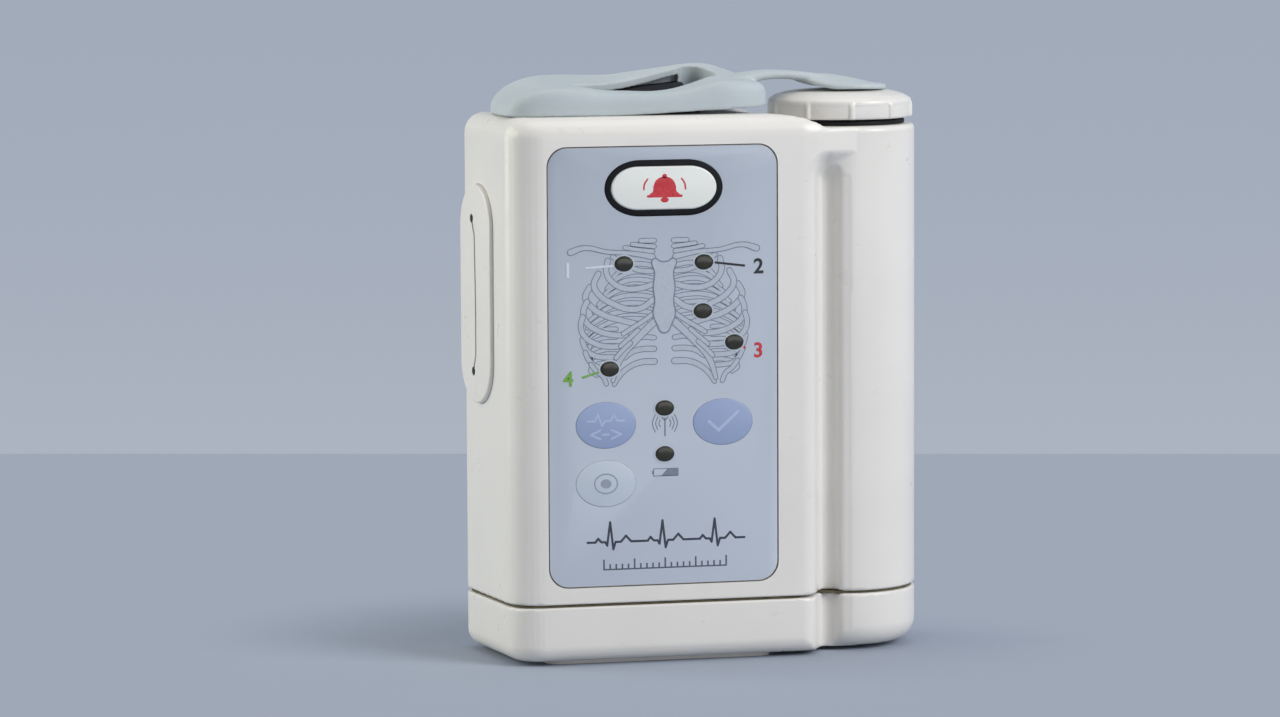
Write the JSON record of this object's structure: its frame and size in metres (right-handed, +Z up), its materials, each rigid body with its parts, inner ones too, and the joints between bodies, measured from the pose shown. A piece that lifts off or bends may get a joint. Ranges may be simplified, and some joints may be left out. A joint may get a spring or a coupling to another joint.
{
  "type": "ecg monitor",
  "caption": "Pocket ECG monitor pack: rounded plastic case with a membrane keypad, a round battery bay with a screw cap on a tether, and a rubber boot over the lead socket.",
  "frame": {"origin": "middle of the flat foot under the case, on the surface it stands on", "axes": "+Z up, the keypad looks along -Y, +X to the right seen from the front"},
  "size_m": [0.095, 0.0355, 0.1216],
  "materials": {
    "case_plastic": "smooth moulded warm white ABS with a soft gloss",
    "overlay_film": "satin grey-blue printed polyester film",
    "call_key_plastic": "smooth white",
    "black_plastic": "black moulded",
    "key_blue_film": "satin blue printed film",
    "key_pale_film": "satin pale grey-blue printed film",
    "smoked_lens": "dark smoked lens",
    "boot_rubber": "satin light blue-grey silicone",
    "seal_rubber": "black rubber",
    "gasket_rubber": "dark olive rubber",
    "board_laminate": "green solder mask",
    "steel": "plain steel",
    "plated_brass": "plated",
    "cell_sleeve": "printed sleeve, plain"
  },
  "bodies": {
    "case": {"main_housing": "case_plastic", "bottom_cover": "case_plastic", "housing_gasket": "gasket_rubber", "front_overlay": "overlay_film", "call_key_ring": "black_plastic", "circuit_board": "board_laminate", "call_dome": "steel", "lead_select_dome": "steel", "check_dome": "steel", "record_dome": "steel", "shield_can": "steel", "antenna": "plated_brass", "lead_socket": "black_plastic", "lead_boot": "boot_rubber", "cap_tether": "boot_rubber", "cap_seal": "seal_rubber", "battery_tube": "black_plastic", "battery_cell_1": "cell_sleeve", "battery_cell_2": "cell_sleeve", "battery_spring": "steel", "battery_terminal": "steel", "side_cover": "case_plastic", "side_port": "black_plastic", "upper_left_lamp_window": "smoked_lens", "upper_left_led": "call_key_plastic", "upper_right_lamp_window": "smoked_lens", "upper_right_led": "call_key_plastic", "chest_lamp_window": "smoked_lens", "chest_led": "call_key_plastic", "lower_right_lamp_window": "smoked_lens", "lower_right_led": "call_key_plastic", "lower_left_lamp_window": "smoked_lens", "lower_left_led": "call_key_plastic", "signal_lamp_window": "smoked_lens", "signal_led": "call_key_plastic", "battery_lamp_window": "smoked_lens", "battery_led": "call_key_plastic", "lead_contact_1": "plated_brass", "lead_contact_2": "plated_brass", "lead_contact_3": "plated_brass", "lead_contact_4": "plated_brass", "lead_contact_5": "plated_brass", "cover_screw_1": "steel", "board_screw_1": "steel", "cover_screw_2": "steel", "board_screw_2": "steel", "cover_screw_3": "steel", "board_screw_3": "steel", "cover_screw_4": "steel", "board_screw_4": "steel"},
    "call_button": {"call_key": "call_key_plastic"},
    "lead_select_button": {"lead_select_key": "key_blue_film"},
    "check_button": {"check_key": "key_blue_film"},
    "record_button": {"record_key": "key_pale_film"},
    "side_door": {"side_flap": "case_plastic"},
    "tether_end": {"tether_button": "boot_rubber"},
    "cap": {"battery_cap": "case_plastic", "cap_contact": "steel"}
  },
  "joints": [
    {"name": "call_key_press", "type": "slide", "parent": "case", "child": "call_button", "axis": [0, 1, 0], "range_m": [0, 0.0004], "stiffness_N_per_m": 600, "springref_m": -0.001},
    {"name": "lead_select_press", "type": "slide", "parent": "case", "child": "lead_select_button", "axis": [0, 1, 0], "range_m": [0, 0.0004], "stiffness_N_per_m": 600, "springref_m": -0.001},
    {"name": "check_press", "type": "slide", "parent": "case", "child": "check_button", "axis": [0, 1, 0], "range_m": [0, 0.0004], "stiffness_N_per_m": 600, "springref_m": -0.001},
    {"name": "record_press", "type": "slide", "parent": "case", "child": "record_button", "axis": [0, 1, 0], "range_m": [0, 0.0004], "stiffness_N_per_m": 600, "springref_m": -0.001},
    {"name": "side_flap_fold", "type": "hinge", "parent": "case", "child": "side_door", "pos_m": [-0.03516, 0.00294, 0.0757], "axis": [0, 0, -1], "range_deg": [0, 110]},
    {"name": "cap_lift", "type": "slide", "parent": "case", "child": "tether_end", "axis": [0, 0, 1], "range_m": [0, 0.003], "deforming": ["cap_tether"]},
    {"name": "cap_turn", "type": "hinge", "parent": "tether_end", "child": "cap", "pos_m": [0.043, 0.0019, 0.1145], "axis": [0, 0, 1], "range_deg": [0, 362]}
  ],
  "couplings": [
    {"joint": "cap_turn", "follows": "cap_lift", "rad_per_m": 2094.4}
  ]
}
